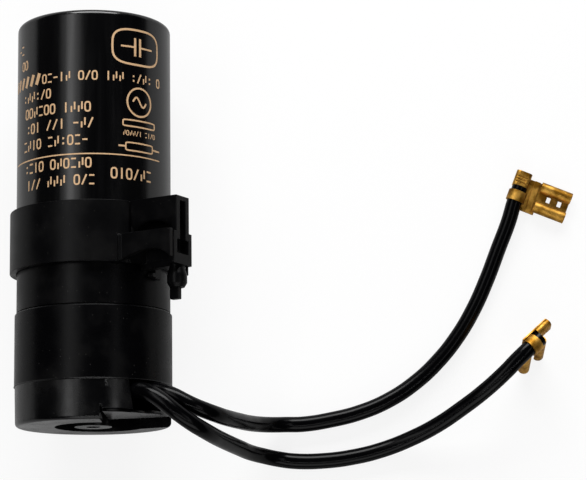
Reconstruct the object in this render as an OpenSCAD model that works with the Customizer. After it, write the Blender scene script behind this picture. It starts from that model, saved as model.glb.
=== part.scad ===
// Motor start capacitor in a round moulded case, with its clip-on mounting band,
// a wiring cap over the terminals and two leads that end in flag receptacles.
// It lies on its band. +Y runs along the case and out of the closed end, +Z is up,
// and the origin is the centre of the closed end's flat face.
// Heights along the case are counted from the face of the wiring cap.

/* [Case] */
// Outer diameter of the case and of its printed sleeve
case_dia = 36.5; // [34:0.5:40]
// Length of the case from its mouth to the closed end
case_len = 85.7; // [70:0.1:110]
// Edge radius at the closed end
case_edge_r = 1.2; // [0.5:0.1:2]
// Diameter of the spigot that the wiring cap slides over
spigot_dia = 35; // [34:0.1:35.4]
// Bore of the mouth that the header disc drops into
mouth_dia = 31.2; // [28:0.1:32]
// Depth of the mouth
mouth_depth = 3; // [2:0.1:6]

/* [Printed sleeve] */
// Film thickness
sleeve_wall = 0.15; // [0.1:0.05:0.3]
// Height of the sleeve's lower edge, hidden under the band
sleeve_bottom = 44; // [40:0.5:49]
// Width of the lip that is shrunk over the closed end
sleeve_lip = 2.4; // [1.5:0.1:5]

/* [Wiring cap] */
// Outer diameter of the skirt
cap_dia = 37; // [36.8:0.1:39]
// Height of the skirt's upper edge
cap_height = 26.5; // [20:0.1:30]
// Height of the mould parting line round the cap
parting_height = 9.3; // [7:0.1:10]
// Height of the flash bead on the parting line
flash_size = 0.15; // [0.05:0.05:0.3]
// Diameter at the cap's end face, smaller by the mould draft
cap_foot_dia = 36.4; // [36:0.1:36.9]
// Distance from the end face to the mouth of the case
cap_drop = 10.5; // [10:0.1:12]
// Bore of the hollow that holds the terminals
cap_hollow_dia = 33.6; // [30:0.1:34]
// Thickness of the end wall, pockets included
cap_floor = 4.4; // [4:0.1:5]
// Edge radius round the end face
cap_edge_r = 0.9; // [0.4:0.1:1.2]
// Chamfer on the skirt's upper edge
cap_chamfer = 0.35; // [0.1:0.05:0.5]

/* [End face of the wiring cap] */
// Diameter of the round pocket
pocket_dia = 21; // [16:0.5:24]
// Depth of the pocket and of the channel that leaves it
pocket_depth = 3.4; // [2:0.1:3.6]
// Sideways offset of the pocket from the axis
pocket_offset = 1.5; // [0:0.1:3]
// Diameter of the centre boss
boss_dia = 8.8; // [7:0.1:10]
// Diameter of the hole in the boss
boss_hole_dia = 3.2; // [2:0.1:4]
// Depth of the hole in the boss
boss_hole_depth = 3; // [2:0.1:4]
// Depth of the lowered part of the end face beside the lead exit
ledge_depth = 1.75; // [1:0.05:2.2]
// Height of the rebate under the side wall, beside the ledge
rebate_depth = 2.5; // [2:0.1:3]
// Width of that rebate
rebate_width = 0.7; // [0.4:0.1:1.2]
// Channel: height of its upper edge above the axis, at the rim
channel_rim_top = 4; // [3:0.1:5]
// Channel: height of its lower edge at the rim
channel_rim_bottom = -1.5; // [-3:0.1:0]
// Channel: height of its upper edge beside the boss
channel_root_top = -0.5; // [-2:0.1:1]
// Channel: height of its lower edge under the boss
channel_root_bottom = -10; // [-10.4:0.1:-8]
// How far the wedge below the parting line stands out
nub_out = 0.4; // [0.2:0.1:0.8]
// Height of that wedge
nub_len = 2; // [1:0.1:3]

/* [Lead window] */
// Direction of the window round the case, from +Z towards +X
window_angle = 47; // [40:1:60]
// Width of the window
window_width = 10; // [9:0.1:12]
// Height of the window's upper edge
window_top = 9.2; // [8.9:0.1:9.3]
// Slant of the window's left edge
window_slant = 1.2; // [0:0.1:2]

/* [Header and terminals] */
// Thickness of the header disc
header_thick = 2.4; // [1.5:0.1:3]
// Distance between the two solder tabs
tab_pitch = 11; // [9:0.5:14]
// Width of a solder tab
tab_width = 4.8; // [3:0.1:6.3]
// Sheet thickness of a solder tab
tab_thick = 0.8; // [0.5:0.1:1]
// How far a tab stands out of the header
tab_height = 5.4; // [4:0.1:5.6]
// Shank diameter of the rivets
rivet_dia = 2.4; // [1.5:0.1:3]
// Head diameter of the rivets
rivet_head_dia = 4; // [3:0.1:5]
// Head height of the rivets
rivet_head = 0.9; // [0.5:0.1:1.2]
// Diameter of the rubber vent plug
vent_dia = 5; // [3:0.1:7]

/* [Mounting band] */
// Wall of the band
band_wall = 1.5; // [1.2:0.1:2.5]
// Height of the band's lower edge
band_bottom = 36; // [33:0.1:40]
// Height of the band's upper edge
band_top = 50.4; // [48:0.1:56]
// Direction of the block round the case, from +Z towards +X
block_angle = 60; // [45:1:75]
// Reach of the block's outer face from the case axis
block_reach = 29.8; // [27:0.1:34]
// Side of the upper block that faces up, from the block's centre plane
block_front = -9.85; // [-11:0.05:-9]
// Other side of the upper block
block_back = -4.5; // [-5:0.05:-3.8]
// Wall of the block
block_wall = 1.3; // [0.8:0.1:1.6]
// Height of the lower edge of the block
block_bottom = 34.5; // [32:0.1:35]
// Height of the upper edge of the wider, lower part of the block
shelf_top = 42; // [41:0.1:44]
// How much further the lower part of the block stands out at its back
shelf_step = 1.1; // [0.4:0.1:1.5]
// Lower edge of the flat plate on the block's front, where its bevel starts
tab_plate_bottom = 45.3; // [44:0.1:47]
// Width of the slit between the band and the upper block
slit_width = 0.5; // [0.3:0.1:0.8]
// Height of the slit's lower end
slit_bottom = 43; // [42:0.1:45]

/* [Tongue of the band] */
// Outer face of the tongue, from the block's centre plane
tongue_front = -12.3; // [-13:0.05:-11.5]
// Wall of the tongue
tongue_wall = 1.3; // [1:0.1:2]
// Height of the tongue's lower edge
tongue_bottom = 35.7; // [35.6:0.1:37]
// Height of the tongue's upper edge
tongue_top = 42.4; // [41:0.1:44]
// Radius of the arch in its lower edge, on the side of the band
arch_r = 19; // [14:0.5:25]
// Radius of the arch on the side of the tongue's end
arch_end_r = 7.4; // [7:0.1:10]
// Distance of the arch's crown from the tongue's end
arch_from_end = 5.3; // [4:0.1:6]
// Rise of that arch
arch_rise = 2.35; // [1:0.05:3]
// Gap between the tongue and the front edge of the block's outer wall
tongue_gap = 0.15; // [0.1:0.05:0.4]
// How far the tongue stops short of the block's outer face
tongue_inset = 0.2; // [0:0.1:1]

/* [Keyhole slot] */
// Width of the narrow part
slot_width = 2.2; // [1.2:0.1:2.6]
// Upper end of the narrow part
slot_top = 49.3; // [47:0.1:49.5]
// Height where the slot widens
slot_step = 40.2; // [39:0.1:42]
// Width of the wide part
slot_wide = 4.6; // [3:0.1:4.8]
// Lower end of the wide part
slot_bottom = 37; // [36:0.1:38]

/* [Snap peg and hook] */
// Largest diameter of the peg's head
peg_dia = 4.6; // [3:0.1:5]
// Diameter of the peg where it leaves the block
peg_neck_dia = 3.4; // [2:0.1:3.6]
// Length of the peg's head below the block
peg_len = 5; // [3:0.1:6]
// Length of the flat leg that leads the peg in
leg_len = 2.7; // [1:0.1:4]
// Width of the leg
leg_width = 2.3; // [1.5:0.1:3]
// Thickness of the leg
leg_thick = 1.4; // [0.8:0.1:2]
// Length of the guard rib beside the peg
guard_len = 2.1; // [1:0.1:3]
// Width of the hook finger under the band
hook_width = 2.6; // [2:0.1:4]
// Length of the hook finger below the band
hook_len = 3.1; // [2:0.1:4]
// Thickness of the hook finger
hook_thick = 1.1; // [0.6:0.1:1.6]

/* [Leads] */
// Diameter over the insulation
lead_dia = 3.8; // [2.4:0.1:3.8]
// Diameter of the stripped conductor
core_dia = 1.3; // [1:0.1:2]

/* [Flag receptacles] */
// Sheet thickness of the receptacles
brass = 0.4; // [0.3:0.05:0.5]
// Width across the two rolls
receptacle_width = 7.9; // [7:0.1:8.4]
// Length of the rolls
receptacle_len = 7.9; // [6:0.1:9]
// Diameter of a roll
roll_dia = 2.8; // [2.4:0.1:3.2]
// Distance from the wire axis to the back of the rolls
receptacle_start = 5; // [4.6:0.1:6]
// Distance from the wire axis to the root of the neck
neck_start = 1.6; // [1:0.1:2]
// Length of the crimp round the insulation
grip_len = 2.6; // [2:0.1:4]
// Bare gap between the two crimps
crimp_gap = 1.3; // [0.5:0.1:2]
// Length of the crimp round the conductor
barrel_len = 4.1; // [3:0.1:5]
// Width of the crimp round the conductor
barrel_width = 4; // [3:0.1:4.4]
// Distance from the grip's edge to the receptacle's near side, along the wire
receptacle_shift = -0.7; // [-2:0.1:0]
// Width of a window in the receptacle's floor
eye_width = 1; // [0.8:0.1:1.6]
// Width of the raised strip between the crimps and the rolls
strip_width = 1.4; // [0.8:0.1:1.6]
// Height of that strip above the sheet
strip_rise = 0.5; // [0.2:0.1:0.8]

/* [Hidden] */
$fn = 96;
total_len = cap_drop + case_len;
case_r = case_dia / 2;
cap_r = cap_dia / 2;
cap_wall = (cap_foot_dia - cap_hollow_dia) / 2;
hidden_r = case_r - sleeve_wall;
// Gap between the skirt's edge and the shoulder of the case
skirt_gap = 0.15;
// Running clearance of a moulded fit
fit = 0.02;
over = 0.5;

// Leads: the route of each centre line. X and Z are from the case axis, Y is the height
// above the end face of the wiring cap. The first points lie inside the cap.
ROUTE_A = [[7.8, 7.2, -0.3], [11.4, 7.2, 5.6], [14.9, 7.1, 11], [17.2, 6.5, 12.6], [19.6, 5.5, 13.5],
    [22, 4.2, 13.7], [24.5, 3, 13.3], [27, 2.1, 12], [29.1, 1.5, 10], [30.6, 1.2, 7.5],
    [32.2, 1.1, 3.7], [34, 1.1, -1], [36.2, 1.2, -6.9], [38.5, 1.4, -11.7], [41.5, 1.6, -15.2],
    [45, 1.8, -17.1], [49, 1.9, -17.8], [56, 2.9, -17.8], [63, 4.6, -17.8], [70, 7.5, -17.8],
    [76.5, 11.7, -17.8], [82, 16.7, -17.8], [87, 22.8, -17.8], [91, 29.3, -17.8],
    [94.5, 36.7, -17.8], [97.6, 44.4, -17.7], [100.3, 51.1, -17.1], [101.7, 55.5, -16.75],
    [103.3, 59.5, -16.6]];
ROUTE_B = [[0.2, 7.1, 7.8], [6, 7.1, 10.8], [12, 6.8, 14.1], [14.1, 6, 15.6], [16.5, 4.5, 16.5],
    [19, 2.5, 16.8], [21.5, 0.6, 16.3], [24, -1.1, 15.1], [26.2, -2.3, 13], [27.7, -3, 10.5],
    [29.4, -3.6, 6.2], [31.5, -4.2, 0.8], [34, -4.8, -5.7], [36.5, -5.4, -11.3],
    [39.5, -5.9, -15], [43, -6.5, -17.1], [47, -7, -17.8], [54, -7, -17.8], [61, -6.2, -17.8],
    [68, -4.6, -17.4], [75, -2.1, -16.1], [81, 0.7, -13.9], [87, 4.4, -10.9], [92.5, 8.3, -7.9],
    [97.5, 12.6, -5.8], [100, 15.1, -5.3], [102.5, 17.4, -5.2], [105.8, 20.4, -6.3]];
// How far each receptacle is turned about its wire, from lying flat
ROLL_A = 3;
ROLL_B = 76;
// Facets round a lead
LEAD_SIDES = 8;
// Radius of a solder joint
joint_r = 1.4;
// How much wider the solder spreads at the tab, and its rim round the conductor
solder_foot = 0.2;
solder_rim = 0.3;
// Where the lowered ledge begins, and how far past the window its rebate runs, in degrees
ledge_start = 3;
rebate_past = 5;
// Groove behind the rebate: its depth from the rim and the lip left on the ledge's side,
// and the width of the gap beside the ledge
groove_depth = 2;
groove_lip = 0.25;
gap_width = 0.6;
// Direction of the wedge below the parting line, round the case, and its width
nub_angle = 14.6;
nub_width = 0.8;
tab_along = 3;
rivet_along = tab_along - 2.6;
// Clearance of the rivet heads in the mouth of the case
head_room = 1;
// Vent plug: how far behind the rivets it sits, and its inner flange
vent_back = 9.4;
vent_flange = 2;
vent_flange_thick = 0.8;

// ---- frames ----

// Local z runs up the case from the wiring cap's face, local x points to the
// direction "angle" round the case, counted from +Z towards +X.
module round_case(angle = 90, height = 0) {
    translate([0, height - total_len, 0]) rotate([-90, 0, 0]) rotate([0, 0, angle - 90]) children();
}

// Outline of a solid of revolution with a rounded outer edge at its far end
module rounded_post(r, from, to, edge) {
    translate([0, from]) square([r, to - edge - from]);
    translate([0, from]) square([r - edge, to - from]);
    translate([r - edge, to - edge]) circle(edge);
}

// ---- case and sleeve ----

module case() {
    color("#1b1b1c") round_case() difference() {
        union() {
            rotate_extrude() rounded_post(hidden_r, cap_drop, total_len - sleeve_wall, case_edge_r);
            translate([0, 0, cap_drop]) cylinder(r = case_r - sleeve_lip, h = case_len);
        }
        translate([0, 0, cap_drop - over]) difference() {
            cylinder(r = case_r + over, h = cap_height + skirt_gap - cap_drop + over);
            translate([0, 0, -over]) cylinder(d = spigot_dia, h = cap_height + 2 * over);
        }
        translate([0, 0, cap_drop - over]) cylinder(d = mouth_dia, h = mouth_depth + over);
        for (side = [-1, 1])
            rotate([0, 0, window_angle - 90]) translate([rivet_along, side * tab_pitch / 2, cap_drop])
                cylinder(d = rivet_head_dia + head_room, h = mouth_depth + rivet_head);
    }
}

module printed_sleeve() {
    color("#0d0d0e") round_case() rotate_extrude() difference() {
        rounded_post(case_r, sleeve_bottom, total_len, case_edge_r + sleeve_wall);
        rounded_post(hidden_r, sleeve_bottom - over, total_len - sleeve_wall, case_edge_r);
        translate([0, sleeve_bottom]) square([case_r - sleeve_lip, case_len]);
    }
}

// ---- wiring cap ----

module cap_outline() {
    foot_r = cap_foot_dia / 2;
    polygon([[0, 0], [foot_r - cap_edge_r, 0], [foot_r - cap_edge_r, cap_edge_r],
        [foot_r, cap_edge_r], [cap_r - flash_size, parting_height - flash_size],
        [cap_r + flash_size, parting_height], [cap_r, parting_height + flash_size],
        [cap_r, cap_height - cap_chamfer], [cap_r - cap_chamfer, cap_height], [0, cap_height]]);
    translate([foot_r - cap_edge_r, cap_edge_r]) circle(cap_edge_r);
}

// Cuts in the end face: round pocket, channel to the rim, lowered ledge and rim rebate
module end_face_cuts() {
    reach = cap_dia;
    slope = (channel_rim_top - channel_root_top) / cap_r;
    difference() {
        union() {
            translate([pocket_offset, 0, -over]) cylinder(d = pocket_dia, h = pocket_depth + over);
            translate([0, 0, -over]) linear_extrude(pocket_depth + over)
                polygon([[0, -channel_root_top], [reach, -channel_root_top - slope * reach],
                    [reach, -channel_rim_bottom], [cap_r, -channel_rim_bottom], [0, -channel_root_bottom]]);
        }
        translate([0, 0, -2 * over]) cylinder(d = boss_dia, h = pocket_depth + 3 * over);
        // land under the ledge
        translate([0, 0, -2 * over]) linear_extrude(pocket_depth + 3 * over)
            polygon([[ledge_start, -reach], [ledge_start, -channel_root_top - slope * ledge_start],
                [reach, -channel_root_top - slope * reach], [reach, -reach]]);
    }
    translate([0, 0, -over]) cylinder(d = boss_hole_dia, h = boss_hole_depth + over);
    // ledge, between the step towards +Z and the channel
    difference() {
        translate([ledge_start, -reach, -over])
            cube([reach, reach - channel_root_top, ledge_depth + over]);
        translate([0, 0, -2 * over]) cylinder(d = boss_dia, h = pocket_depth);
    }
    // rebate along the rim, as far as the window
    difference() {
        rotate([0, 0, -90]) rotate_extrude(angle = window_angle + rebate_past) {
            translate([cap_foot_dia / 2 - rebate_width, -over])
                square([rebate_width + over, rebate_depth + over]);
            translate([cap_foot_dia / 2 - groove_depth, ledge_depth + groove_lip])
                square([groove_depth, rebate_depth - ledge_depth - groove_lip]);
        }
        translate([-reach, -reach, -over]) cube([reach + ledge_start, 2 * reach, cap_height]);
    }
    // gap beside the ledge
    difference() {
        translate([ledge_start, -reach, -over])
            cube([gap_width, reach - channel_root_top - slope * ledge_start, pocket_depth + over]);
        translate([0, 0, -2 * over]) cylinder(d = boss_dia, h = pocket_depth + 3 * over);
    }
}

module wiring_cap() {
    color("#232324") round_case() difference() {
        union() {
            rotate_extrude() cap_outline();
            // wedge below the parting line
            rotate([0, 0, nub_angle - 90]) translate([0, nub_width / 2, 0]) rotate([90, 0, 0])
                linear_extrude(nub_width) polygon([[cap_r - cap_wall / 2, parting_height - nub_len],
                    [cap_r - nub_out, parting_height - nub_len],
                    [cap_r + nub_out, parting_height - flash_size / 2],
                    [cap_r - cap_wall / 2, parting_height - flash_size / 2]]);
        }
        translate([0, 0, cap_floor]) cylinder(d = cap_hollow_dia, h = cap_drop - cap_floor + over);
        translate([0, 0, cap_drop]) cylinder(d = spigot_dia + 2 * fit, h = cap_height);
        end_face_cuts();
        // lead window
        rotate([0, 0, window_angle - 90]) rotate([90, 0, 90]) translate([0, 0, cap_foot_dia / 4])
            linear_extrude(cap_foot_dia / 2) polygon([[-window_width / 2, window_top],
                [-window_width / 2 + window_slant, rebate_depth], [window_width / 2, rebate_depth],
                [window_width / 2, window_top]]);
    }
}

// ---- header and terminals ----

// The two tabs stand side by side, square to the window's direction
module tab_place(side) {
    round_case(window_angle) translate([0, side * tab_pitch / 2, cap_drop + mouth_depth]) children();
}

module header_disc() {
    color("#4a3628") difference() {
        round_case() translate([0, 0, cap_drop + mouth_depth - header_thick])
            cylinder(d = mouth_dia - 2 * fit, h = header_thick);
        for (side = [-1, 1]) tab_place(side) translate([rivet_along, 0, -header_thick - over])
            cylinder(d = rivet_dia, h = header_thick + 2 * over);
        round_case(window_angle) translate([rivet_along - vent_back, 0, cap_drop])
            cylinder(d = vent_dia, h = mouth_depth);
    }
}

module vent_plug() {
    color("#303030") round_case(window_angle)
        translate([rivet_along - vent_back, 0, cap_drop + mouth_depth - header_thick]) {
            cylinder(d = vent_dia, h = header_thick);
            mirror([0, 0, 1]) cylinder(d = vent_dia + vent_flange, h = vent_flange_thick);
        }
}

module solder_tab(side) {
    color("#c9b27a") tab_place(side) difference() {
        translate([0, -tab_width / 2, -header_thick]) mirror([0, 0, 1]) {
            translate([rivet_along - rivet_head_dia / 2, 0, 0])
                cube([tab_along - rivet_along + rivet_head_dia / 2, tab_width, tab_thick]);
            translate([tab_along - tab_thick, 0, 0]) cube([tab_thick, tab_width, tab_height]);
        }
        translate([rivet_along, 0, -header_thick - tab_thick - over])
            cylinder(d = rivet_dia, h = tab_thick + 2 * over);
    }
}

module tab_rivets() {
    color("#b9b9b9") for (side = [-1, 1]) tab_place(side) translate([rivet_along, 0, 0]) {
        translate([0, 0, -header_thick - tab_thick - rivet_head])
            cylinder(d = rivet_head_dia, h = rivet_head);
        translate([0, 0, -header_thick - tab_thick]) cylinder(d = rivet_dia, h = header_thick + tab_thick);
        cylinder(d = rivet_head_dia, h = rivet_head);
    }
}

module solder_joints() {
    color("#c4c6c8") for (route = [ROUTE_A, ROUTE_B]) difference() {
        joint_at(route) translate([-1.5 * joint_r, 0, 0]) rotate([0, 90, 0])
            cylinder(r1 = joint_r + solder_foot, r2 = core_dia / 2 + solder_rim, h = 2.4 * joint_r);
        joint_at(route) rotate([0, 90, 0]) cylinder(d = core_dia, h = 2 * joint_r);
        tab_place(0) translate([tab_along - 2 * joint_r, -cap_r, -cap_drop])
            cube([2 * joint_r, cap_dia, cap_drop]);
    }
}

// ---- mounting band ----
// Local x is the reach from the case axis, local y runs round from the up side

slot_centre = (block_front + block_back) / 2;
shelf_depth = 6;
shelf_front = tongue_front + tongue_wall + tongue_gap;
// The block's walls start this far inside the band's outer face
block_root = case_r - 2;
// Length of the web under the block's hollow, from the outer face, and its rise into the band
web_len = 8.5;
web_rise = 0.15;
// How far the web stands back from the front wall
web_back = 2.5;
// How far the front wall's bevel slopes back, and the cove cut into its lower edge
bevel_back = 0.8;
cove_r = 8;
cove_top = 45;
// The slit's side turns this many degrees into the block's front wall
slit_bite = 0.8;
slit_angle = asin(block_front / (case_r + band_wall)) + slit_bite;
// Raised root where the tongue leaves the band: its start and width in degrees, its
// thickness over the band and how much lower than the tongue it ends
tongue_root_angle = 21;
tongue_root_width = 12;
tongue_root_rise = 0.7;
root_step = 0.3;

module upper_block() {
    width = block_back - block_front;
    // front wall: flat plate above, sloping back below, with a cove in its lower edge
    difference() {
        translate([block_root, 0, 0]) rotate([90, 0, 90]) linear_extrude(block_reach - block_root)
            polygon([[block_front, band_top], [block_front, tab_plate_bottom],
                [block_front + bevel_back, slit_bottom], [block_front + block_wall, slit_bottom],
                [block_front + block_wall, band_top]]);
        translate([(block_root + block_reach) / 2, block_front - over, cove_top - cove_r])
            rotate([-90, 0, 0]) cylinder(r = cove_r, h = block_wall + 2 * over);
    }
    translate([block_root, block_back - block_wall, block_bottom])
        cube([block_reach - block_root, block_wall, band_top - block_bottom]);
    // outer wall and the webs at both ends
    translate([block_reach - block_wall, block_front, block_bottom])
        cube([block_wall, width, band_top - block_bottom]);
    translate([block_root, block_front, band_top - block_wall])
        cube([block_reach - block_root, width, block_wall]);
    translate([block_reach - web_len, block_front + web_back, block_bottom])
        cube([web_len, width - web_back, band_bottom + web_rise - block_bottom]);
}

module lower_block() {
    translate([block_reach - block_wall, shelf_front, block_bottom])
        cube([block_wall, block_back + shelf_step - shelf_front, shelf_top - block_bottom]);
    translate([block_reach - shelf_depth, block_back, block_bottom])
        cube([shelf_depth, shelf_step, shelf_top - block_bottom]);
}

module tongue() {
    end = block_reach - tongue_inset;
    start = case_r - 4 * tongue_wall;
    crown = tongue_bottom + arch_rise;
    difference() {
        union() {
            translate([start, tongue_front, tongue_bottom])
                cube([end - start, tongue_wall, tongue_top - tongue_bottom]);
            rotate([0, 0, tongue_root_angle - block_angle]) translate([0, 0, tongue_bottom])
                rotate_extrude(angle = tongue_root_width) translate([case_r + band_wall / 2, 0])
                    square([band_wall / 2 + tongue_root_rise, tongue_top - root_step - tongue_bottom]);
        }
        translate([end - arch_from_end, tongue_front - over, 0]) rotate([-90, 0, 0])
            linear_extrude(tongue_wall + 2 * over) {
                translate([0, arch_end_r - crown]) circle(arch_end_r);
                intersection() {
                    translate([0, arch_r - crown]) circle(arch_r);
                    translate([-2 * arch_r, -crown]) square([2 * arch_r, 2 * arch_r]);
                }
            }
    }
}

module keyhole() {
    depth = block_wall + 2 * over;
    translate([block_reach - block_wall - over, slot_centre - slot_width / 2, slot_step - over])
        cube([depth, slot_width, slot_top - slot_step + over]);
    translate([block_reach - block_wall - over, slot_centre - slot_wide / 2, slot_bottom])
        cube([depth, slot_wide, slot_step - slot_bottom]);
}

// Snap peg: how far past the outer face and aside it sits, the share of its length where the
// head is widest and where its tip begins, how much the tip narrows, the leg's offset
peg_past = 0.3;
peg_aside = 0.6;
peg_wide_from = 0.45;
peg_tip_from = 0.8;
peg_tip = 1.2;
leg_back = 0.4;
// Guard rib: its distance from the outer face and its section
guard_inset = 1;
guard_width = 0.6;
// Hook finger: its root inside the band, its offset, and the lip at its end
hook_root = 1;
hook_offset = 1.5;
hook_lip_rise = 0.3;
hook_lip = 1;

module snap_peg() {
    translate([block_reach + peg_past - peg_dia / 2, slot_centre + peg_aside, block_bottom])
        mirror([0, 0, 1]) {
        translate([0, 0, -over]) cylinder(d = peg_neck_dia, h = over);
        cylinder(d1 = peg_neck_dia, d2 = peg_dia, h = peg_len * peg_wide_from);
        translate([0, 0, peg_len * peg_wide_from])
            cylinder(d = peg_dia, h = peg_len * (peg_tip_from - peg_wide_from));
        translate([0, 0, peg_len * peg_tip_from])
            cylinder(d1 = peg_dia, d2 = peg_dia - peg_tip, h = peg_len * (1 - peg_tip_from));
        translate([-leg_width / 2 - leg_back, -leg_thick / 2, peg_len - over])
            cube([leg_width, leg_thick, leg_len + over]);
    }
    translate([block_reach - guard_inset, block_back - guard_width / 2, block_bottom - guard_len])
        cube([guard_width, guard_width, guard_len + over]);
}

module hook_finger() {
    depth = hook_root + hook_thick;
    translate([case_r - hook_root, -hook_width / 2 - hook_offset, band_bottom - hook_len])
        cube([depth, hook_width, hook_len + over]);
    translate([case_r - hook_root, -hook_width / 2 - hook_offset - hook_lip,
        band_bottom - hook_len + hook_lip_rise]) cube([depth, hook_lip, hook_lip]);
}

module mounting_band() {
    color("#2c2c2d") round_case(block_angle) difference() {
        union() {
            translate([0, 0, band_bottom]) cylinder(r = case_r + band_wall, h = band_top - band_bottom);
            upper_block();
            lower_block();
            tongue();
            snap_peg();
            hook_finger();
        }
        translate([0, 0, block_bottom - peg_len - leg_len - over]) cylinder(r = case_r, h = total_len);
        keyhole();
        // slit between the band and the upper block
        rotate([0, 0, slit_angle]) translate([case_r + band_wall * 0.4, -slit_width, slit_bottom])
            cube([band_wall, slit_width, band_top]);
    }
}

// ---- leads ----

function world(p) = [p.x, p.y - total_len, p.z];
function unit(v) = v / norm(v);
function tangent(route, i) = unit(route[min(i + 1, len(route) - 1)] - route[max(i - 1, 0)]);
function across(u, t) = unit(u - t * (u * t));
function carried(route, i) = i == 0 ? across([0, 1, 0], tangent(route, 0))
    : across(carried(route, i - 1), tangent(route, i));
function ring_of(centre, t, u, r) = let (v = cross(t, u))
    [for (k = [0:LEAD_SIDES - 1]) let (a = 360 * k / LEAD_SIDES) centre + r * (u * cos(a) + v * sin(a))];

module lead(route) {
    n = len(route);
    points = [for (i = [0:n - 1])
        each ring_of(world(route[i]), tangent(route, i), carried(route, i), lead_dia / 2)];
    skin = [for (i = [0:n - 2], k = [0:LEAD_SIDES - 1])
        let (m = (k + 1) % LEAD_SIDES, a = i * LEAD_SIDES, b = a + LEAD_SIDES) [b + k, b + m, a + m, a + k]];
    ends = [[for (k = [0:LEAD_SIDES - 1]) k],
        [for (k = [LEAD_SIDES - 1:-1:0]) (n - 1) * LEAD_SIDES + k]];
    color("#141414") polyhedron(points, concat(skin, ends));
}

// Local x runs along the lead in "direction"
module lead_frame(p, direction, roll = 0) {
    translate(world(p)) rotate([0, -asin(direction.z), atan2(direction.y, direction.x)])
        rotate([roll, 0, 0]) children();
}

module far_end(route, roll = 0) {
    n = len(route);
    lead_frame(route[n - 1], unit(route[n - 1] - route[n - 2]), roll) children();
}

module joint_at(route) {
    direction = unit(route[1] - route[0]);
    lead_frame(route[0] - direction * joint_r, direction) children();
}

module conductor(route, roll) {
    color("#c98a4b") {
        far_end(route, roll) translate([0, 0, plate_z + brass + core_dia / 2]) rotate([0, 90, 0])
            cylinder(d = core_dia, h = barrel_len);
        joint_at(route) rotate([0, 90, 0]) cylinder(d = core_dia, h = joint_r);
    }
}

// ---- flag receptacles ----
// Local x runs along the wire from the end of its insulation, -y to the mouth

plate_z = -lead_dia / 2 - brass;
// Serrations: where the first one lies along the barrel, their pitch, width and depth
serration_from = 0.25;
serration_pitch = 0.7;
serration_width = 0.3;
serration_depth = 0.2;
// Opening of a roll, places of the windows along the rolls and a window's length
roll_gap = 0.9;
eye_places = [0.22, 0.58];
eye_len = 1.4;
eye_shift = 0.4;
// The neck runs past the rolls behind the grip and stops short of them at the other side
neck_past = 0.5;
neck_inset = 0.2;

module grip() {
    r = lead_dia / 2;
    translate([-crimp_gap - grip_len, 0, 0]) rotate([0, 90, 0]) difference() {
        cylinder(r = r + brass, h = grip_len);
        translate([0, 0, -over]) cylinder(r = r + fit, h = grip_len + 2 * over);
    }
}

module wire_barrel() {
    r = (core_dia + 2 * brass) / 2;
    flat = barrel_width - 2 * r;
    translate([0, 0, plate_z + r]) difference() {
        rotate([90, 0, 90]) linear_extrude(barrel_len) {
            for (side = [-1, 1]) translate([side * flat / 2, 0]) circle(r);
            translate([-flat / 2, -r]) square([flat, 2 * r]);
        }
        translate([-over, 0, 0]) rotate([0, 90, 0]) cylinder(d = core_dia, h = barrel_len + 2 * over);
        // serrations pressed across the top
        for (i = [0:2]) translate([barrel_len * serration_from + i * serration_pitch, -barrel_width,
            r - serration_depth]) cube([serration_width, 2 * barrel_width, 1]);
    }
}

module receptacle() {
    roll_r = roll_dia / 2;
    translate([receptacle_shift, -receptacle_start - receptacle_len, plate_z]) difference() {
        union() {
            translate([roll_r, 0, 0]) cube([receptacle_width - roll_dia, receptacle_len, brass]);
            for (side = [0, 1]) translate([side * receptacle_width, 0, 0]) mirror([side, 0, 0])
                translate([roll_r, receptacle_len, roll_r]) rotate([90, 0, 0])
                    linear_extrude(receptacle_len) difference() {
                        circle(roll_r);
                        circle(roll_r - brass);
                        translate([0, -roll_r + brass]) square([roll_dia, roll_gap]);
                    }
        }
        for (place = eye_places)
            translate([(receptacle_width - eye_len) / 2 + eye_shift, receptacle_len * place, -over])
                cube([eye_len, eye_width, brass + 2 * over]);
    }
}

module flag_terminal(route, roll) {
    color("#c8a046") far_end(route, roll) {
        grip();
        wire_barrel();
        translate([-crimp_gap - grip_len, 0, 0]) {
            // carrier strip under both crimps, and the neck to the receptacle
            translate([0, -neck_start, plate_z])
                cube([grip_len + crimp_gap + barrel_len, 2 * neck_start, brass]);
            neck_len = receptacle_width + neck_past - neck_inset;
            translate([receptacle_shift - neck_past, -receptacle_start - over, plate_z])
                cube([neck_len, receptacle_start - neck_start + 2 * over, brass]);
            translate([receptacle_shift - neck_past, -receptacle_start + brass, plate_z])
                cube([neck_len, strip_width, brass + strip_rise]);
            receptacle();
        }
    }
}

case();
printed_sleeve();
wiring_cap();
header_disc();
vent_plug();
solder_tab(1);  // solder_tab_a
solder_tab(-1);  // solder_tab_b
tab_rivets();
solder_joints();
mounting_band();
lead(ROUTE_A);  // lead_a
lead(ROUTE_B);  // lead_b
conductor(ROUTE_A, ROLL_A);  // conductor_a
conductor(ROUTE_B, ROLL_B);  // conductor_b
flag_terminal(ROUTE_A, ROLL_A);  // flag_terminal_a
flag_terminal(ROUTE_B, ROLL_B);  // flag_terminal_b
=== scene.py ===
"""Motor start capacitor, lying on its mounting band with its two leads spread out on the floor.

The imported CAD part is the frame. Each section below is one piece, in the order of assembly."""
import math
import random

import bmesh
import bpy
from mathutils import Matrix, Vector


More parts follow.
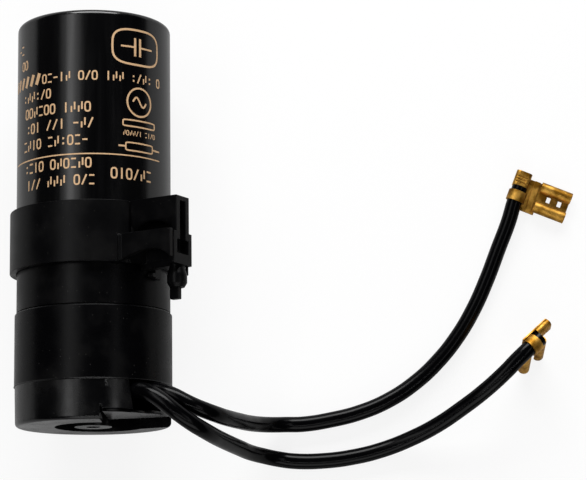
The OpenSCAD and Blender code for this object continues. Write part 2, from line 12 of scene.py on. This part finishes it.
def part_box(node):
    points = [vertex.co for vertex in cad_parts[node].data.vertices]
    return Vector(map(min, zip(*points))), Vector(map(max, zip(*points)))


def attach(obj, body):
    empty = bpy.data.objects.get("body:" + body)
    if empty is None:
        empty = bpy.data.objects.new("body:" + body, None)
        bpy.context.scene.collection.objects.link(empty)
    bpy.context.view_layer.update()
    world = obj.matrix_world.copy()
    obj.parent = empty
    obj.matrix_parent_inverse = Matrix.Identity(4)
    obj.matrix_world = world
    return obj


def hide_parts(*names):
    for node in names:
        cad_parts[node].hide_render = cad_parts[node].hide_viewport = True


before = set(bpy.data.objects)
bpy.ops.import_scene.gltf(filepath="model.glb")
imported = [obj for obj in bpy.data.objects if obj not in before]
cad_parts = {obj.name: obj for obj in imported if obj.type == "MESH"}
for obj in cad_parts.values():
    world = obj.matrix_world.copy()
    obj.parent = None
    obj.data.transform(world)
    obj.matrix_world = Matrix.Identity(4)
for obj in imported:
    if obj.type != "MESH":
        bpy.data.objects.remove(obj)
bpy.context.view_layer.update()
MM = 0.001

# ---- Camera ----
# A long lens looks down on the part, a little from the cap's side.
camera_data = bpy.data.cameras.new("camera")
camera_data.lens = 136.36
camera_data.sensor_width = 36
camera_data.dof.use_dof = False
camera = bpy.data.objects.new("camera", camera_data)
bpy.context.collection.objects.link(camera)
lean, turn = math.radians(10.83), math.radians(-0.83)
camera.matrix_world = (Matrix.Translation((0.0474, -0.1515, 0.5183))
                       @ Matrix.Rotation(lean, 4, "X") @ Matrix.Rotation(turn, 4, "Z"))
bpy.context.scene.camera = camera


# ---- Leads ----
# Two stranded copper leads in glossy black PVC, extruded round and a little uneven along
# their length. They leave the window in the cap, hump over its rim and lie on the floor.
def srgb(code, alpha=1.0):
    """An sRGB hex colour as the linear colour that a socket takes."""
    parts = [int(code[i:i + 2], 16) / 255 for i in (1, 3, 5)]
    return [c / 12.92 if c <= 0.04045 else ((c + 0.055) / 1.055) ** 2.4 for c in parts] + [alpha]


def add(tree, kind, settings=None, **inputs):
    """One shader node: settings are its properties, inputs its sockets' values or their sources."""
    made = tree.nodes.new(kind)
    for key, value in (settings or {}).items():
        setattr(made, key, value)
    for key, value in inputs.items():
        socket = made.inputs[int(key[1:])] if key[0] == "_" else made.inputs[key.replace("_", " ")]
        if isinstance(value, bpy.types.NodeSocket):
            tree.links.new(value, socket)
        else:
            socket.default_value = value
    return made


def material(name):
    """An empty material, its tree and its output node."""
    made = bpy.data.materials.new(name)
    made.use_nodes = True
    made.node_tree.nodes.clear()
    return made, made.node_tree, made.node_tree.nodes.new("ShaderNodeOutputMaterial")


def place(tree, scale=(1, 1, 1)):
    """Object coordinates in metres, multiplied by scale."""
    seat = add(tree, "ShaderNodeTexCoord")
    return add(tree, "ShaderNodeMapping", Vector=seat.outputs["Object"], Scale=scale).outputs[0]


def pvc_insulation():
    """Soft PVC: black, with a low sheen and slow ripples left by the strands underneath."""
    made, tree, out = material("extruded_pvc")
    ripple = add(tree, "ShaderNodeTexNoise", Vector=place(tree), Scale=1 / (3.5 * MM), Detail=2.0)
    dust = add(tree, "ShaderNodeTexNoise", Vector=place(tree), Scale=1 / (0.6 * MM), Detail=3.0)
    bump = add(tree, "ShaderNodeBump", Strength=0.2, Distance=0.04 * MM, Height=ripple.outputs["Fac"])
    rough = add(tree, "ShaderNodeMapRange", _0=dust.outputs["Fac"], _1=0.35, _2=0.7, _3=0.17, _4=0.25)
    skin = add(tree, "ShaderNodeBsdfPrincipled", Base_Color=srgb("#030304"), IOR=1.5,
               Specular_IOR_Level=0.12, Roughness=rough.outputs[0], Normal=bump.outputs[0])
    tree.links.new(skin.outputs[0], out.inputs[0])
    return made


lead_r = 1.9 * MM
face_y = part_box("wiring_cap")[0].y
# The points of each centre line, in metres: X, height above the cap's face, and Z
ROUTE_A = [(.0078, .0072, -.0003), (.0114, .0072, .0056), (.0149, .0071, .011), (.0172, .0065, .0126),
           (.0196, .0055, .0135), (.022, .0042, .0137), (.0245, .003, .0133), (.027, .0021, .012),
           (.0291, .0015, .01), (.0306, .0012, .0075), (.0322, .0011, .0037), (.034, .0011, -.001),
           (.0362, .0012, -.0069), (.0385, .0014, -.0117), (.0415, .0016, -.0152), (.045, .0018, -.0171),
           (.049, .0019, -.0178), (.056, .0029, -.0178), (.063, .0046, -.0178), (.07, .0075, -.0178),
           (.0765, .0117, -.0178), (.082, .0167, -.0178), (.087, .0228, -.0178), (.091, .0293, -.0178),
           (.0945, .0367, -.0178), (.0976, .0444, -.0177), (.1003, .0511, -.0171),
           (.1017, .0555, -.01675), (.1033, .0595, -.0166)]
ROUTE_B = [(.0002, .0071, .0078), (.006, .0071, .0108), (.012, .0068, .0141), (.0141, .006, .0156),
           (.0165, .0045, .0165), (.019, .0025, .0168), (.0215, .0006, .0163), (.024, -.0011, .0151),
           (.0262, -.0023, .013), (.0277, -.003, .0105), (.0294, -.0036, .0062), (.0315, -.0042, .0008),
           (.034, -.0048, -.0057), (.0365, -.0054, -.0113), (.0395, -.0059, -.015),
           (.043, -.0065, -.0171), (.047, -.007, -.0178), (.054, -.007, -.0178), (.061, -.0062, -.0178),
           (.068, -.0046, -.0174), (.075, -.0021, -.0161), (.081, .0007, -.0139), (.087, .0044, -.0109),
           (.0925, .0083, -.0079), (.0975, .0126, -.0058), (.1, .0151, -.0053), (.1025, .0174, -.0052),
           (.1058, .0204, -.0063)]
pvc = pvc_insulation()


def lead(name, route):
    """A lead along its route, as a smooth round tube, with the length of its centre line."""
    curve = bpy.data.curves.new(name, "CURVE")
    curve.dimensions = "3D"
    curve.bevel_depth = lead_r
    curve.bevel_resolution = 7
    curve.resolution_u = 10
    curve.use_fill_caps = True
    line = curve.splines.new("BEZIER")
    line.bezier_points.add(len(route) - 1)
    for point, (x, height, z) in zip(line.bezier_points, route):
        point.co = (x, face_y + height, z)
        point.handle_left_type = point.handle_right_type = "AUTO"
    curve.materials.append(pvc)
    tube = bpy.data.objects.new(name, curve)
    bpy.context.collection.objects.link(tube)
    return tube, line.calc_length()


for name, route in (("lead_a", ROUTE_A), ("lead_b", ROUTE_B)):
    tube, length = lead(name + "_tube", route)
    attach(tube, "root")
    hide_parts(name)
    suffix = name[-1]


# ---- Case ----
# The case moulding shows as a plain stretch between the cap and the band, and as the
# middle of the closed end.
def dressed(node, name, edge, finish, sharp=32.0):
    """A copy of a CAD node, its facets merged and its sharp edges rounded by edge."""
    form = bmesh.new()
    form.from_mesh(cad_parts[node].data)
    bmesh.ops.remove_doubles(form, verts=form.verts, dist=0.001 * MM)
    bmesh.ops.dissolve_limit(form, angle_limit=math.radians(0.5), verts=form.verts, edges=form.edges)
    corners = [e for e in form.edges
               if len(e.link_faces) == 2 and e.calc_face_angle(0) > math.radians(sharp)
               and min(face.calc_area() for face in e.link_faces) > 8 * edge * edge]
    bmesh.ops.bevel(form, geom=corners, offset=edge, segments=2, profile=0.5, affect="EDGES",
                    clamp_overlap=False, material=-1)
    piece = finished(form, name, finish)
    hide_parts(node)
    return piece


def finished(form, name, finish, crease=40.0):
    """The piece made from a bmesh: smooth but for its creases, with its material, on the root body."""
    for face in form.faces:
        face.smooth = True
    for e in form.edges:
        e.smooth = len(e.link_faces) == 2 and e.calc_face_angle(0) < math.radians(crease)
    mesh = bpy.data.meshes.new(name)
    form.to_mesh(mesh)
    form.free()
    mesh.materials.append(finish)
    piece = bpy.data.objects.new(name, mesh)
    bpy.context.collection.objects.link(piece)
    weigh = piece.modifiers.new("normals", "WEIGHTED_NORMAL")
    weigh.keep_sharp = True
    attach(piece, "root")
    return piece


def moulded(name, colour, rough, gloss, grain_mm, depth, speck=0.0):
    """Moulded black plastic: a fine grain, a slow change of sheen, pale specks of dust, and a faint pale
    haze that is painted sheen over the rougher patches.
    """
    made, tree, out = material(name)
    seat = place(tree)
    grain = add(tree, "ShaderNodeTexNoise", Vector=seat, Scale=1 / (grain_mm * MM), Detail=3.0)
    cloud = add(tree, "ShaderNodeTexNoise", Vector=seat, Scale=1 / (6 * MM), Detail=6.0)
    sheen = add(tree, "ShaderNodeMapRange", _0=cloud.outputs["Fac"], _1=0.3, _2=0.7,
                _3=rough - 0.05, _4=rough + 0.07)
    dust = add(tree, "ShaderNodeTexVoronoi", Vector=seat, Scale=1 / (1.4 * MM))
    spot = add(tree, "ShaderNodeMapRange", _0=dust.outputs["Distance"], _1=0.05, _2=0.09,
               _3=speck, _4=0.0)
    # painted sheen: a faint pale haze in the base colour, where the same cloud also makes the surface
    # rougher
    painted_sheen_haze = add(tree, "ShaderNodeMapRange", _0=cloud.outputs["Fac"], _1=0.5, _2=0.72,
               _3=0.0, _4=0.009)
    # the dust specks and the painted sheen haze together, whichever is paler
    dust_and_painted_sheen = add(tree, "ShaderNodeMath", {"operation": "MAXIMUM"}, _0=spot.outputs[0],
               _1=painted_sheen_haze.outputs[0])
    tone = add(tree, "ShaderNodeMix", {"data_type": "RGBA"}, _0=dust_and_painted_sheen.outputs[0], _6=srgb(colour),
               _7=srgb("#8d8a86"))
    bump = add(tree, "ShaderNodeBump", Strength=0.3, Distance=depth * MM, Height=grain.outputs["Fac"])
    skin = add(tree, "ShaderNodeBsdfPrincipled", Base_Color=tone.outputs[2], IOR=1.5,
               Specular_IOR_Level=gloss, Roughness=sheen.outputs[0], Normal=bump.outputs[0])
    tree.links.new(skin.outputs[0], out.inputs[0])
    return made


dressed("case", "case_body", 0.1 * MM,
        moulded("phenolic_moulding", "#030304", 0.3, 0.11, 0.35, 0.02, 0.12))

# ---- Printed sleeve ----
# Gloss black film, shrunk over the case: its lower edge lies under the band and its upper
# edge is turned over the closed end, a little wavy as shrunk film is.
sleeve_low, sleeve_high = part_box("printed_sleeve")
sleeve_r = sleeve_high.x


def sleeve_film():
    """Gloss film: nearly black, with faint streaks along the case and a shallow ripple."""
    made, tree, out = material("shrunk_gloss_film")
    streak = add(tree, "ShaderNodeTexNoise", Vector=place(tree, (1, 0.06, 1)), Scale=1 / (1.2 * MM),
                 Detail=4.0)
    ripple = add(tree, "ShaderNodeTexNoise", Vector=place(tree), Scale=1 / (7 * MM), Detail=2.0)
    sheen = add(tree, "ShaderNodeMapRange", _0=streak.outputs["Fac"], _1=0.3, _2=0.7, _3=0.15, _4=0.24)
    bump = add(tree, "ShaderNodeBump", Strength=0.3, Distance=0.05 * MM, Height=ripple.outputs["Fac"])
    skin = add(tree, "ShaderNodeBsdfPrincipled", Base_Color=srgb("#020203"), IOR=1.5,
               Roughness=sheen.outputs[0], Normal=bump.outputs[0])
    tree.links.new(skin.outputs[0], out.inputs[0])
    return made


film, fold_r, lip, fold_steps = 0.15 * MM, 1.35 * MM, 2.4 * MM, 8
section = [(sleeve_r, sleeve_low.y)]
for step in range(fold_steps + 1):
    angle = math.pi / 2 * step / fold_steps
    section.append((sleeve_r - fold_r + fold_r * math.cos(angle),
                    sleeve_high.y - fold_r + fold_r * math.sin(angle)))
section += [(sleeve_r - lip, sleeve_high.y), (sleeve_r - lip, sleeve_high.y - film)]
for step in range(fold_steps + 1):
    angle = math.pi / 2 * (1 - step / fold_steps)
    section.append((sleeve_r - fold_r + (fold_r - film) * math.cos(angle),
                    sleeve_high.y - fold_r + (fold_r - film) * math.sin(angle)))
section.append((sleeve_r - film, sleeve_low.y))
form = bmesh.new()
ring = [form.verts.new((r, y, 0)) for r, y in section]
loop = [form.edges.new((ring[i], ring[(i + 1) % len(ring)])) for i in range(len(ring))]
bmesh.ops.spin(form, geom=ring + loop, axis=(0, 1, 0), cent=(0, 0, 0), steps=240,
               angle=2 * math.pi, use_merge=True)
bmesh.ops.recalc_face_normals(form, faces=form.faces)
for v in form.verts:
    if math.hypot(v.co.x, v.co.z) < sleeve_r - lip + 0.01 * MM:
        turn_at = math.atan2(v.co.x, v.co.z)
        grow = 1 + 0.008 * math.sin(5 * turn_at) + 0.006 * math.sin(13 * turn_at + 1)
        v.co.x *= grow
        v.co.z *= grow
sleeve = finished(form, "sleeve_film_tube", sleeve_film())
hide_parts("printed_sleeve")


# ---- Print on the sleeve ----
# Sand-coloured screen print, from plain shapes only: rows of bars, boxes and dots, a rule,
# a ring with a sine wave, a box with leads and a rounded frame with two plates.
def stroke(form, points, width, closed=False, radius=sleeve_r, rise=0.02, sink=0.05):
    """A flat strip of ink along points (across, height) in mm, bent round the sleeve in short steps."""
    ends = list(zip(points, points[1:] + points[:1] if closed else points[1:]))
    tail = [] if closed else [points[-1]]
    points = []
    for (u0, v0), (u1, v1) in ends:
        steps = max(1, math.ceil(math.hypot(u1 - u0, v1 - v0) / 0.7))
        points += [(u0 + (u1 - u0) * i / steps, v0 + (v1 - v0) * i / steps) for i in range(steps)]
    points += tail
    count = len(points)
    rows = []
    for i, (u, v) in enumerate(points):
        before = points[i - 1] if closed or i else points[0]
        after = points[(i + 1) % count] if closed or i < count - 1 else points[-1]
        along = Vector((after[0] - before[0], after[1] - before[1])).normalized()
        side = Vector((-along.y, along.x)) * width / 2
        row = []
        for edge, lift in ((1, rise), (-1, rise), (-1, -sink), (1, -sink)):
            turn_at = (u + side.x * edge) * MM / radius
            reach = radius + lift * MM
            row.append(form.verts.new((reach * math.sin(turn_at), face_y + (v + side.y * edge) * MM,
                                       reach * math.cos(turn_at))))
        rows.append(row)
    for i in range(count if closed else count - 1):
        a, b = rows[i], rows[(i + 1) % count]
        for k in range(4):
            form.faces.new((a[k], a[(k + 1) % 4], b[(k + 1) % 4], b[k]))
    if not closed:
        form.faces.new(rows[0][::-1])
        form.faces.new(rows[-1])


def bar(form, x0, y0, x1, y1, width=0.42):
    """A straight stroke."""
    stroke(form, [(x0, y0), (x1, y1)], width)


def rounded(form, x, y, half_w, half_h, power=2.0, width=0.42, steps=28):
    """A closed ring: an ellipse at power 2, and squarer as power grows."""
    points = []
    for i in range(steps):
        c, d = math.cos(2 * math.pi * i / steps), math.sin(2 * math.pi * i / steps)
        points.append((x + half_w * math.copysign(abs(c) ** (2 / power), c),
                       y + half_h * math.copysign(abs(d) ** (2 / power), d)))
    stroke(form, points, width, closed=True)


def mark(form, kind, x, y, w, h):
    """One plain mark of a row, in a cell of width w and height h that stands on y."""
    pen = 0.16 * h
    if kind == 0:
        bar(form, x, y, x, y + h, pen)
    elif kind == 1:
        rounded(form, x, y + h / 2, w * 0.34, h * 0.45, power=3.2, width=pen, steps=20)
    elif kind == 2:
        bar(form, x - w * 0.3, y, x + w * 0.3, y + h, pen)
    elif kind == 3:
        bar(form, x - w * 0.34, y + h * 0.08, x + w * 0.34, y + h * 0.08, pen)
        bar(form, x - w * 0.34, y + h * 0.92, x + w * 0.34, y + h * 0.92, pen)
    elif kind == 4:
        bar(form, x - w * 0.34, y + h * 0.5, x + w * 0.34, y + h * 0.5, pen)
    elif kind == 5:
        bar(form, x - w * 0.2, y, x - w * 0.2, y + h * 0.6, pen)
        bar(form, x + w * 0.24, y + h * 0.25, x + w * 0.24, y + h, pen)
    else:
        bar(form, x, y + h * 0.1, x, y + h * 0.3, 1.2 * pen)
        bar(form, x, y + h * 0.6, x, y + h * 0.8, 1.2 * pen)


def row_of_marks(form, x0, x1, y, h, pick):
    """A row of plain marks from x0 to x1, in groups with gaps between them."""
    pitch = h * 0.72
    x = x0 + pitch / 2
    group = pick.randint(3, 6)
    while x < x1 - pitch * 0.3:
        if group:
            mark(form, pick.choice((0, 1, 1, 2, 3, 4, 5, 5, 6)), x, y, pitch, h)
            group -= 1
        else:
            group = pick.randint(3, 7)
        x += pitch


def print_ink():
    """Screen ink: sand-coloured, satin, a little thin where the film's grain shows through."""
    made, tree, out = material("screen_ink")
    thin = add(tree, "ShaderNodeTexNoise", Vector=place(tree), Scale=1 / (0.5 * MM), Detail=3.0)
    tone = add(tree, "ShaderNodeMix", {"data_type": "RGBA"}, _0=thin.outputs["Fac"], _6=srgb("#c99c70"),
               _7=srgb("#e6c49a"))
    skin = add(tree, "ShaderNodeBsdfPrincipled", Base_Color=tone.outputs[2], Roughness=0.5)
    tree.links.new(skin.outputs[0], out.inputs[0])
    return made


pick = random.Random(11)
form = bmesh.new()
bar(form, -23.4, 61.4, 19.7, 61.4, 0.3)
for x0, x1, y, h in ((-18.8, -7.6, 75.3, 2.3), (-18, 0.9, 71.4, 2.4), (-17.3, 2.7, 67.6, 2.4),
                     (-18.6, 0.9, 63.6, 2.4), (-17.8, 0.9, 58.1, 2.4), (-17, 2.8, 54.1, 2.4),
                     (-11.7, 21.1, 79, 2.2), (8.4, 18, 66.2, 1.2), (5.4, 18, 55.7, 2.6),
                     (-22, -18, 87.6, 2.2), (-20, -16.3, 83.6, 2.2)):
    row_of_marks(form, x0, x1, y, h, pick)
for i in range(6):
    bar(form, -24 + 2.1 * i, 79.2, -23 + 2.1 * i, 81.8, 1.0)
# rounded frame round two plates
rounded(form, 12.4, 87.6, 6.5, 4.2, power=3.4, width=0.5, steps=56)
bar(form, 11.7, 85.4, 11.7, 89.8, 0.6)
bar(form, 13.1, 85.4, 13.1, 89.8, 0.6)
bar(form, 8, 87.6, 11.5, 87.6)
bar(form, 13.3, 87.6, 16.8, 87.6)
# ring with a sine wave, and a plain box below it
rounded(form, 13, 74.4, 3.4, 3.4, width=0.45, steps=48)
wave = [(11.1 + 3.8 * i / 20, 74.4 + 1.1 * math.sin(2 * math.pi * i / 20)) for i in range(21)]
stroke(form, wave, 0.45)
rounded(form, 13.1, 69.2, 4.6, 0.75, power=8, width=0.36, steps=44)
# box with leads
rounded(form, 13.1, 63.6, 3.9, 0.95, power=8, width=0.36, steps=44)
bar(form, 7.4, 63.6, 9.1, 63.6)
bar(form, 17.1, 63.6, 19.7, 63.6)
bmesh.ops.recalc_face_normals(form, faces=form.faces)
printed = finished(form, "sleeve_print", print_ink())

# ---- Wiring cap ----
# Satin black cap with a parting line, pushed over the end of the case.
# Its foot, below the line, is shinier than the textured skirt.
cap = dressed("wiring_cap", "wiring_cap_moulding", 0.08 * MM,
              moulded("cap_polypropylene", "#030304", 0.28, 0.1, 0.3, 0.015, 0.12))
parting_y = face_y + 9.2 * MM
cap.data.materials.append(moulded("cap_polished_foot", "#030304", 0.24, 0.36, 0.3, 0.012, 0.08))
for face in cap.data.polygons:
    face.material_index = int(face.center.y < parting_y)


# ---- Header, vent, tabs, rivets and joints ----
# They sit inside the cap, so the CAD solids stay, with their own materials.
def plain_finish(name, light, dark, rough, grain_mm, metal=0.0, stretch=(1, 1, 1)):
    """A material that varies between two tones at the scale of its grain."""
    made, tree, out = material(name)
    grain = add(tree, "ShaderNodeTexNoise", Vector=place(tree, stretch), Scale=1 / (grain_mm * MM),
                Detail=5.0)
    tone = add(tree, "ShaderNodeMix", {"data_type": "RGBA"}, _0=grain.outputs["Fac"], _6=srgb(dark),
               _7=srgb(light))
    sheen = add(tree, "ShaderNodeMapRange", _0=grain.outputs["Fac"], _1=0.3, _2=0.7, _3=rough - 0.06,
                _4=rough + 0.08)
    bump = add(tree, "ShaderNodeBump", Strength=0.3, Distance=0.02 * MM, Height=grain.outputs["Fac"])
    skin = add(tree, "ShaderNodeBsdfPrincipled", Base_Color=tone.outputs[2], Metallic=metal,
               Roughness=sheen.outputs[0], Normal=bump.outputs[0])
    tree.links.new(skin.outputs[0], out.inputs[0])
    return made


tinned = plain_finish("tinned_brass", "#e2dccb", "#b9ad8c", 0.3, 0.5, 1.0)
for node, finish in (("header_disc", plain_finish("phenolic_board", "#5a4030", "#3c2a1f", 0.55, 0.8)),
                     ("vent_plug", plain_finish("vent_rubber", "#1d1d1d", "#121212", 0.6, 0.4)),
                     ("solder_tab_a", tinned), ("solder_tab_b", tinned),
                     ("tab_rivets", plain_finish("rivet_aluminium", "#c9cacc", "#a6a8aa", 0.35, 0.4, 1.0)),
                     ("solder_joints", plain_finish("tin_solder", "#d3d5d8", "#9fa2a6", 0.22, 0.7, 1.0))):
    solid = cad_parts[node]
    solid.data.materials.clear()
    solid.data.materials.append(finish)

# ---- Mounting band ----
# One nylon moulding: ring, tongue, keyhole block, snap peg and hook finger.
nylon = moulded("nylon_moulding", "#040405", 0.34, 0.12, 0.3, 0.02, 0.1)
dressed("mounting_band", "band_moulding_one_piece", 0.15 * MM, nylon)


# ---- Flag receptacles and conductors ----
# Rolled brass receptacles crimped over the stripped strands, square to each lead.
def rolled_brass_sheet():
    """Rolled brass sheet: a fine grain, a warm tone, and darker patches at random, which are painted shade
    standing in for the dark of its folds and crevices.
    """
    made, tree, out = material("rolled_brass")
    grain = add(tree, "ShaderNodeTexNoise", Vector=place(tree), Scale=1 / (0.25 * MM), Detail=5.0)
    shade_noise = add(tree, "ShaderNodeTexNoise", Vector=place(tree), Scale=1 / (2.5 * MM), Detail=3.0)
    # painted shade: darker brown patches scattered at random, for the dark of the rolls' crevices
    painted_shade_patches = add(tree, "ShaderNodeMapRange", _0=shade_noise.outputs["Fac"], _1=0.36, _2=0.6, _3=0.0, _4=1.0)
    tone = add(tree, "ShaderNodeMix", {"data_type": "RGBA"}, _0=painted_shade_patches.outputs[0], _6=srgb("#8c611c"),
               _7=srgb("#dba94f"))
    sheen = add(tree, "ShaderNodeMapRange", _0=grain.outputs["Fac"], _1=0.3, _2=0.7, _3=0.42, _4=0.56)
    bump = add(tree, "ShaderNodeBump", Strength=0.3, Distance=0.02 * MM, Height=grain.outputs["Fac"])
    skin = add(tree, "ShaderNodeBsdfPrincipled", Base_Color=tone.outputs[2], Metallic=1.0,
               Roughness=sheen.outputs[0], Normal=bump.outputs[0])
    tree.links.new(skin.outputs[0], out.inputs[0])
    return made


brass = rolled_brass_sheet()
copper = plain_finish("copper_strand", "#d98f5e", "#a35e36", 0.3, 0.2, 1.0)
for suffix in "ab":
    dressed("flag_terminal_" + suffix, "receptacle_" + suffix, 0.06 * MM, brass)
    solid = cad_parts["conductor_" + suffix]
    solid.data.materials.clear()
    solid.data.materials.append(copper)

# ---- Stage ----
# A pale floor that keeps the part's shadow. Narrow strips draw the highlights along the case
# and the leads, and two wide lamps beyond its ends light everything else.
floor_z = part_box("mounting_band")[0].z
glow_seen, glow_mirrored = 0.86, 0.15
form = bmesh.new()
bmesh.ops.create_grid(form, x_segments=1, y_segments=1, size=3)
bmesh.ops.translate(form, verts=form.verts, vec=(0, 0, floor_z))
floor_mesh = bpy.data.meshes.new("floor")
form.to_mesh(floor_mesh)
form.free()
floor = bpy.data.objects.new("floor", floor_mesh)
bpy.context.collection.objects.link(floor)
made, tree, out = material("pale_floor")
path = add(tree, "ShaderNodeLightPath")
shade = add(tree, "ShaderNodeMix", {"data_type": "RGBA"}, _0=path.outputs["Is Camera Ray"],
            _6=srgb("#b8b8b8"), _7=srgb("#ffffff"))
matt = add(tree, "ShaderNodeBsdfDiffuse", Color=shade.outputs[2])
white = add(tree, "ShaderNodeEmission", Color=(1, 1, 1, 1), Strength=1.0)
mirrored = add(tree, "ShaderNodeMath", {"operation": "MULTIPLY"}, _0=path.outputs["Is Glossy Ray"],
               _1=glow_mirrored)
seen = add(tree, "ShaderNodeMath", {"operation": "MULTIPLY"}, _0=path.outputs["Is Camera Ray"],
           _1=glow_seen)
share = add(tree, "ShaderNodeMath", {"operation": "MAXIMUM"}, _0=seen.outputs[0], _1=mirrored.outputs[0])
mix = add(tree, "ShaderNodeMixShader", _0=share.outputs[0], _1=matt.outputs[0], _2=white.outputs[0])
tree.links.new(mix.outputs[0], out.inputs[0])
floor_mesh.materials.append(made)


def lamp(name, spot, size, radiance, aim=(0, -0.03, 0)):
    """A soft rectangular lamp at spot, turned towards aim, of a given radiance."""
    light = bpy.data.lights.new(name, "AREA")
    light.shape = "RECTANGLE"
    light.size, light.size_y = size
    light.energy = radiance * math.pi * size[0] * size[1]
    holder = bpy.data.objects.new(name, light)
    gaze = (Vector(aim) - Vector(spot)).normalized()
    across = gaze.cross(Vector((0, 1, 0))).normalized()
    up = across.cross(gaze)
    holder.matrix_world = Matrix.Translation(spot) @ Matrix((across, up, -gaze)).transposed().to_4x4()
    bpy.context.collection.objects.link(holder)


def overhead(name, angle, distance, width, length, radiance, shift=0.1):
    """A lamp alongside the case, at angle from straight up towards +X."""
    turned = math.radians(angle)
    lamp(name, (distance * math.sin(turned), shift, distance * math.cos(turned)), (width, length),
         radiance, aim=(0, shift, 0))


overhead("left_strip", -30, 0.8, 0.14, 0.7, 2.6)
overhead("left_strip_edge", -20, 0.8, 0.14, 0.7, 0.9)
overhead("left_strip_foot", -40, 0.8, 0.14, 0.7, 0.5)
overhead("right_strip", 37, 0.8, 0.12, 0.36, 1.7, shift=-0.14)
lamp("far_lamp", (0.05, 0.9, 0.55), (1.0, 0.5), 10)
lamp("near_lamp", (0.05, -0.95, 0.5), (1.0, 0.5), 2)
lamp("lead_strip", (0.05, -0.45, 0.75), (1.0, 0.03), 9)
world = bpy.data.worlds.new("studio")
bpy.context.scene.world = world
world.use_nodes = True
world.node_tree.nodes["Background"].inputs[0].default_value = (1, 1, 1, 1)
world.node_tree.nodes["Background"].inputs[1].default_value = 0.025
bpy.context.scene.view_settings.view_transform = "Standard"
